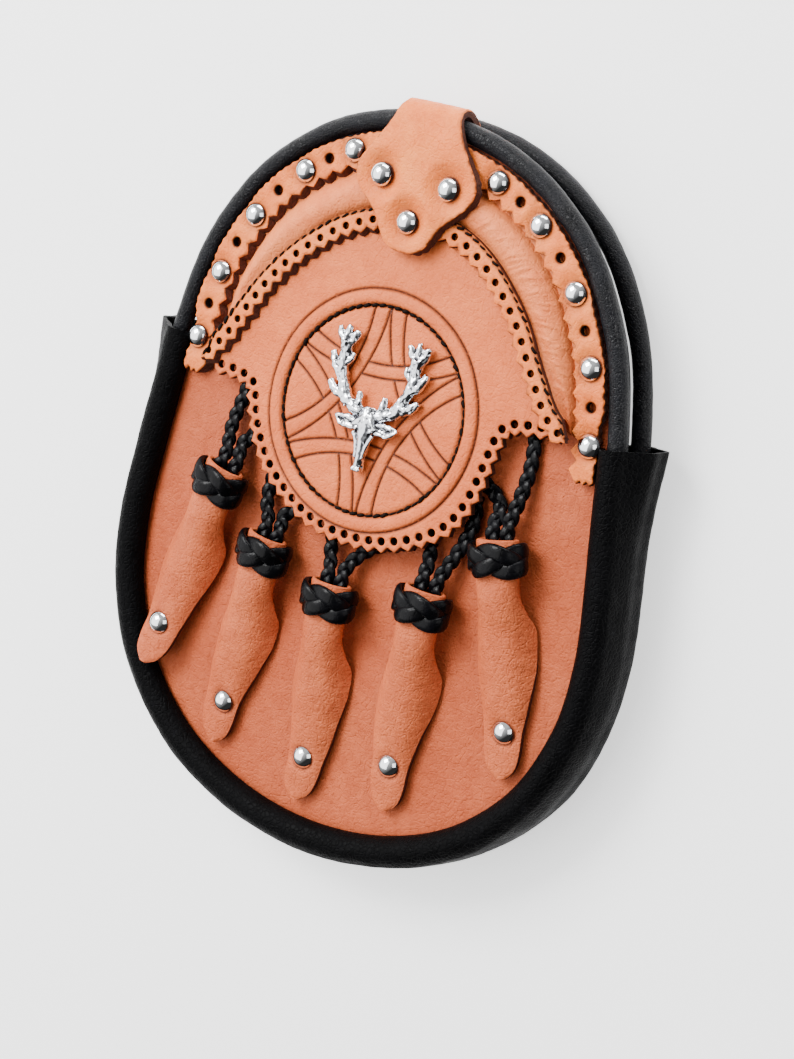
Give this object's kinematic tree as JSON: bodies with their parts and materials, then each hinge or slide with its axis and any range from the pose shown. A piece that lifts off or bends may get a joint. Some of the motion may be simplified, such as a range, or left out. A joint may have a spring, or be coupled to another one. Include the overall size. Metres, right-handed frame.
{
  "type": "sporran pouch",
  "caption": "Egg-shaped leather pouch with piped edges, a mouth closed by a riveted tab, a flap with a cast stag's head, and hanging leaf-shaped tassels.",
  "frame": {"origin": "middle of the pouch's outline on the surface that it lies on", "axes": "+Y to the pouch's top, +X to the right as seen from the front, +Z out of its face, with the pouch lying on its back"},
  "size_m": [0.1808, 0.2326, 0.0326],
  "materials": {
    "tan_leather": "vegetable-tanned tan leather, tooled, waxed, with darker grain and raw dark-brown cut edges",
    "back_leather": "plain black leather, matt",
    "black_leather": "black calf leather with a soft sheen and fine grain",
    "bright_metal": "bright polished plating"
  },
  "bodies": {
    "root": {"front_panel": "tan_leather", "back_panel": "back_leather", "front_piping": "black_leather", "back_piping": "black_leather", "gusset": "black_leather", "outer_band": "tan_leather", "crescent_roll": "tan_leather", "flap": "tan_leather", "inner_band": "tan_leather", "tab": "tan_leather", "band_rivet_l1": "bright_metal", "band_rivet_l2": "bright_metal", "band_rivet_l3": "bright_metal", "band_rivet_l4": "bright_metal", "band_rivet_l5": "bright_metal", "band_rivet_r1": "bright_metal", "band_rivet_r2": "bright_metal", "band_rivet_r3": "bright_metal", "band_rivet_r4": "bright_metal", "band_rivet_r5": "bright_metal", "tab_rivet_1": "bright_metal", "tab_rivet_2": "bright_metal", "tab_rivet_3": "bright_metal", "badge": "bright_metal", "cord_1a": "black_leather", "cord_1b": "black_leather", "cord_2a": "black_leather", "cord_2b": "black_leather", "cord_3a": "black_leather", "cord_3b": "black_leather", "cord_4a": "black_leather", "cord_4b": "black_leather", "cord_5a": "black_leather", "cord_5b": "black_leather", "knot_1": "black_leather", "knot_2": "black_leather", "knot_3": "black_leather", "knot_4": "black_leather", "knot_5": "black_leather", "leaf_1": "tan_leather", "leaf_2": "tan_leather", "leaf_3": "tan_leather", "leaf_4": "tan_leather", "leaf_5": "tan_leather", "leaf_rivet_1": "bright_metal", "leaf_rivet_2": "bright_metal", "leaf_rivet_3": "bright_metal", "leaf_rivet_4": "bright_metal", "leaf_rivet_5": "bright_metal", "back_loop_l": "black_leather", "back_loop_r": "black_leather", "loop_rivet_l1": "bright_metal", "loop_rivet_l2": "bright_metal", "loop_rivet_r1": "bright_metal", "loop_rivet_r2": "bright_metal"}
  },
  "joints": []
}
